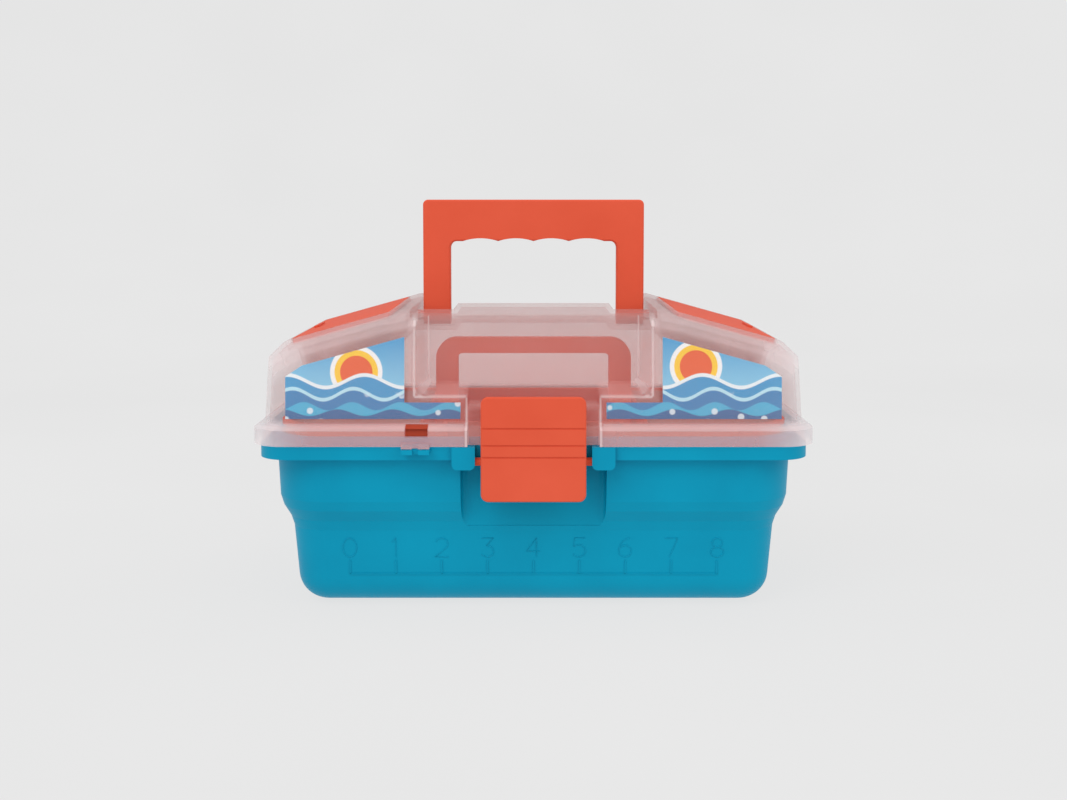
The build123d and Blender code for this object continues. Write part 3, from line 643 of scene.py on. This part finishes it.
# %% Turn the strokes into a mesh
raw_numbers = put_in_scene("number_strokes", strokes)
drawn_numbers = raw_numbers.evaluated_get(bpy.context.evaluated_depsgraph_get())
number_mesh = bpy.data.meshes.new_from_object(drawn_numbers)
bpy.data.objects.remove(raw_numbers)
numbers = put_in_scene("rule_numbers", number_mesh)
number_mesh.materials.clear()
number_mesh.materials.append(tub_blue)
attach(numbers, "tub")
print("numbers", len(number_mesh.polygons), "faces")

# %% [markdown]
# ## Studio
# The box stands in a plain pale bowl: floor and walls are one round sheet with a wide bend, so no horizon shows from
# any side. The sheet glows like a lit table and reflects only a little, which keeps its grey even and its shadows
# faint.

# %% Build the bowl
FLOOR_RADIUS, BEND_RADIUS, BOWL_TOP = 1.2, 1.2, 2.4
BEND_STEPS, ROUND_STEPS = 12, 64
bend = [math.pi / 2 * step / BEND_STEPS for step in range(BEND_STEPS + 1)]
profile = [(FLOOR_RADIUS + BEND_RADIUS * math.sin(a), BEND_RADIUS * (1 - math.cos(a))) for a in bend]
profile.append((FLOOR_RADIUS + BEND_RADIUS, BOWL_TOP))
turns = [math.tau * step / ROUND_STEPS for step in range(ROUND_STEPS)]
bowl_points = [(radius * math.cos(a), radius * math.sin(a), z) for radius, z in profile for a in turns]
bowl_faces = [tuple(range(ROUND_STEPS))]
for ring in range(len(profile) - 1):
    low, high = ring * ROUND_STEPS, (ring + 1) * ROUND_STEPS
    for step in range(ROUND_STEPS):
        beside = (step + 1) % ROUND_STEPS
        bowl_faces.append((low + step, high + step, high + beside, low + beside))
sheet = bpy.data.meshes.new("studio_sweep")
sheet.from_pydata(bowl_points, [], bowl_faces)
for face in sheet.polygons:
    face.use_smooth = True
sweep = put_in_scene("studio_sweep", sheet)
print("bowl has", len(sheet.polygons), "faces")

# %% Make the paper
PAPER_GRAIN, PAPER_CLOUDS, PAPER_BUMP = 300.0, 2.0, 0.02
PAPER_ROUGHNESS, PAPER_GLOW = 0.9, 0.925
paper, paper_tree, paper_shader, paper_cloud = start_finish("studio paper", PAPER_GRAIN, PAPER_CLOUDS, PAPER_BUMP)
paper_shader.inputs["Roughness"].default_value = PAPER_ROUGHNESS
paper_shader.inputs["Specular IOR Level"].default_value = 0.0
paper_shader.inputs["Emission Strength"].default_value = PAPER_GLOW
paper_share = spread(paper_tree, paper_cloud)
for socket, shade, light in (("Base Color", 71, 74), ("Emission Color", 229, 231)):
    grey = blend_colours(paper_tree, paper_share, (shade, shade, shade), (light, light, light))
    paper_tree.links.new(grey, paper_shader.inputs[socket])
sheet.materials.append(paper)
print("made", paper.name)

# %% [markdown]
# Light comes from everywhere, as in a light tent, with one large soft lamp above the front left to model the forms
# and two weaker ones to open the shadows.

# %% Light the studio
TENT_LIGHT = 0.58
LAMP_TARGET = Vector((0.0, 0.0, 0.1))
world = bpy.data.worlds.new("light tent")
world.use_nodes = True
tent = world.node_tree.nodes["Background"]
tent.inputs["Color"].default_value = (1.0, 1.0, 1.0, 1.0)
tent.inputs["Strength"].default_value = TENT_LIGHT
bpy.context.scene.world = world


def soft_lamp(name, power, size, spot):
    """A square lamp that points at the box."""
    lamp = bpy.data.lights.new(name, "AREA")
    lamp.energy = power
    lamp.size = size
    holder = put_in_scene(name, lamp)
    holder.location = spot
    holder.rotation_euler = (LAMP_TARGET - Vector(spot)).to_track_quat("-Z", "Y").to_euler()
    return holder


lamps = [
    soft_lamp("key_lamp", 15.0, 1.4, (-0.9, -1.3, 1.7)),
    soft_lamp("fill_lamp", 7.0, 1.6, (1.3, -1.1, 1.2)),
    soft_lamp("top_lamp", 4.0, 1.6, (0.0, 0.3, 1.9)),
]
bpy.context.scene.view_settings.view_transform = "Standard"
print(len(lamps), "lamps")

# %% [markdown]
# ## Camera
# The camera stands in front of the box, a little above its lid, and looks only slightly down, so upright walls stay
# upright. The lens is then shifted down, as on a view camera, which brings the whole box into the frame.

# %% Place the camera
CAMERA_SPOT = Vector((0.0, -0.79, 0.2225))
LOOK_DOWN = math.radians(4.0)
SENSOR_WIDTH, LENS, LENS_SHIFT = 36.0, 44.76, -0.0937
camera_data = bpy.data.cameras.new("shelf_camera")
camera_data.sensor_width = SENSOR_WIDTH
camera_data.lens = LENS
camera_data.shift_y = LENS_SHIFT
camera = put_in_scene("shelf_camera", camera_data)
camera.location = CAMERA_SPOT
camera.rotation_euler = (math.pi / 2 - LOOK_DOWN, 0.0, 0.0)
bpy.context.scene.camera = camera
print("camera", round(CAMERA_SPOT.length, 3), "m from the origin, lens", LENS)
